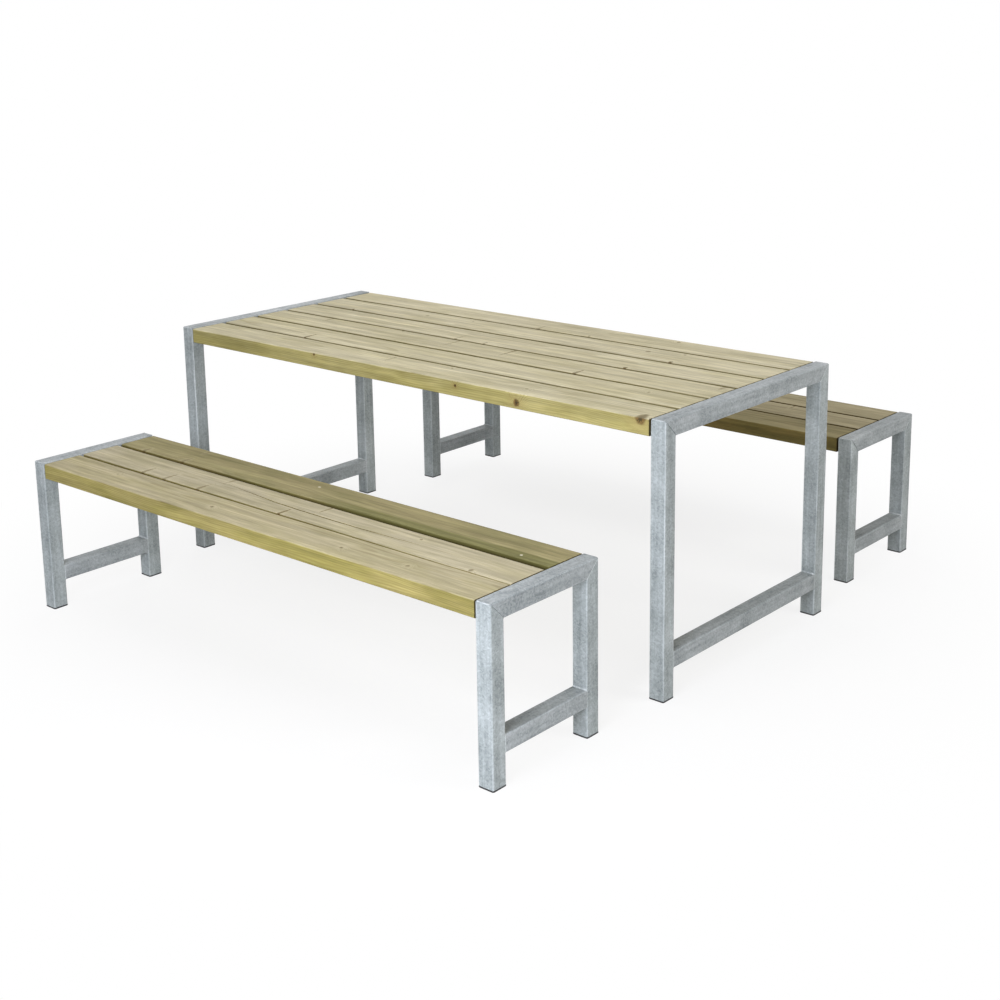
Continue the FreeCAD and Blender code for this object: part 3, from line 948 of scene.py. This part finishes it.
all_screws = shape(
    wood_screw, "InstanceOnPoints",
    {"Points": screw_in["Geometry"], "Instance": whole_screw, "Rotation": spun},
)
end_tree(wood_screw, screw_in, screw_out, all_screws, smooth=False)


def drive_screws(node, points):
    """Screws with their heads up against the steel at these points, in place of a CAD group."""
    low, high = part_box(node)
    sizes = {
        "Flats": screw_flats, "Head Height": screw_head, "Washer Height": washer_height,
        "Shank": screw_shank, "Length": high.z - low.z - screw_head, "Material": zinc_plate,
    }
    piece = settle(grow(wood_screw, node + "_plated", sizes, points))
    fit_on(piece, "zinc_screws", node)


for unit in units:
    planks = [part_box(node) for node in plank_notes if node.startswith(unit)]
    bearer_points = []
    for end, outward in zip(ends, (-1, 1)):
        low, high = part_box(f"{unit}_{end}_bearer")
        line_x = (low.x + high.x) / 2 - outward * angle_steel / 2
        for plank_low, plank_high in planks:
            for y in (plank_low.y + screw_edge, plank_high.y - screw_edge):
                bearer_points.append((line_x, y, low.z))
    drive_screws(f"{unit}_bearer_screws", bearer_points)
    low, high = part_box(f"{unit}_cross_bar")
    bar_x = (low.x + high.x) / 2
    bar_points = [(bar_x, (plank_low.y + plank_high.y) / 2, low.z) for plank_low, plank_high in planks]
    drive_screws(f"{unit}_bar_screws", bar_points)

# Studio
# A plain pale floor under a white sky, with soft boxes in front, at the right, above and behind.
# The camera stands at eye height, in front and to the right, where the photograph was taken.

white = (1.0, 1.0, 1.0, 1.0)
pale_grey = (0.78, 0.78, 0.76, 1.0)
floor_size = 60.0
shadow_reach = (0.6, 1.9)
white_share = (0.78, 1.0)
sky_level = 0.05


def seen_directly(tree):
    """One where the camera looks, straight, by a mirror or through glass, and zero for bounced light."""
    ray = put_node(tree, "ShaderNodeLightPath").outputs
    seen = number(tree, "MAXIMUM", ray["Is Camera Ray"], ray["Is Glossy Ray"])
    return number(tree, "MAXIMUM", seen, ray["Is Transmission Ray"])


floor_mesh = bpy.data.meshes.new("floor")
corner = floor_size / 2
floor_corners = [(-corner, -corner, 0), (corner, -corner, 0), (corner, corner, 0), (-corner, corner, 0)]
floor_mesh.from_pydata(floor_corners, [], [(0, 1, 2, 3)])
floor = bpy.data.objects.new("floor", floor_mesh)
bpy.context.scene.collection.objects.link(floor)
floor_paint, floor_tree, floor_shader, floor_here = start_material("floor_paint")
floor_mesh.materials.append(floor_paint)
floor_shader.inputs["Roughness"].default_value = 0.9
floor_shader.inputs["Specular IOR Level"].default_value = 0.0
seen = seen_directly(floor_tree)
floor_tree.links.new(mixed(floor_tree, seen, pale_grey, white), floor_shader.inputs["Base Color"])
far_out = vector(floor_tree, "LENGTH", floor_here.outputs["Object"])
glow_share = number(floor_tree, "MULTIPLY", seen, eased(floor_tree, far_out, *shadow_reach, *white_share))
glow = put_node(floor_tree, "ShaderNodeEmission", {"Color": white, "Strength": 1.0})
floor_mix = put_node(
    floor_tree, "ShaderNodeMixShader", {0: glow_share, 1: floor_shader.outputs[0], 2: glow.outputs[0]}
)
floor_tree.links.new(floor_mix.outputs[0], floor_tree.nodes["Material Output"].inputs["Surface"])

sky = bpy.data.worlds.new("white_sky")
bpy.context.scene.world = sky
sky.use_nodes = True
sky_tree = sky.node_tree
sky_light = sky_tree.nodes["Background"]
sky_light.inputs["Color"].default_value = white
sky_strength = number(sky_tree, "MULTIPLY_ADD", seen_directly(sky_tree), 1.0 - sky_level, sky_level)
sky_tree.links.new(sky_strength, sky_light.inputs["Strength"])


def soft_box(name, place, target, size, watts, tint):
    """Square soft light that looks at a point."""
    lamp = bpy.data.lights.new(name, "AREA")
    lamp.size = size
    lamp.energy = watts
    lamp.color = tint
    stand = bpy.data.objects.new(name, lamp)
    stand.location = place
    stand.rotation_euler = (Vector(target) - Vector(place)).to_track_quat("-Z", "Y").to_euler()
    bpy.context.scene.collection.objects.link(stand)


cool = (0.96, 0.99, 1.08)
warm = (1.02, 1.0, 0.97)
rosy = (1.01, 0.98, 0.98)
neutral = (1.0, 1.0, 1.0)
soft_box("front_box", (1.0, -3.3, 1.9), (0.7, -0.8, 0.4), size=1.8, watts=58.0, tint=cool)
soft_box("corner_box", (1.7, -2.9, 1.3), (0.6, -0.8, 0.4), size=1.4, watts=36.0, tint=cool)
soft_box("right_box", (4.6, 1.2, 2.6), (0.0, 0.0, 0.4), size=2.2, watts=86.0, tint=warm)
soft_box("top_box", (-0.6, -0.3, 3.6), (-0.6, -0.3, 0.0), size=3.5, watts=57.0, tint=rosy)
soft_box("back_box", (-3.4, 2.8, 3.2), (-0.2, 0.2, 0.4), size=2.0, watts=34.0, tint=neutral)

bpy.context.scene.view_settings.view_transform = "Standard"
photo_pixels = 1000
photo_focal_pixels = 1568.31
photo_centre_row = 350
camera_place = (3.0310, -3.3872, 1.7243)
camera_azimuth = 41.2959
camera_elevation = 12.5963
camera_roll = -0.8524
lens = bpy.data.cameras.new("photo_camera")
lens.sensor_width = 36.0
lens.lens = photo_focal_pixels / photo_pixels * lens.sensor_width
lens.shift_y = (photo_centre_row - photo_pixels / 2) / photo_pixels
lens.clip_end = 200.0
camera = bpy.data.objects.new("photo_camera", lens)
bpy.context.scene.collection.objects.link(camera)
stand_point = Matrix.Translation(camera_place)
for degrees, axis in ((camera_azimuth, "Z"), (90.0 - camera_elevation, "X"), (camera_roll, "Z")):
    stand_point = stand_point @ Matrix.Rotation(math.radians(degrees), 4, axis)
camera.matrix_world = stand_point
bpy.context.scene.camera = camera

bpy.context.view_layer.update()
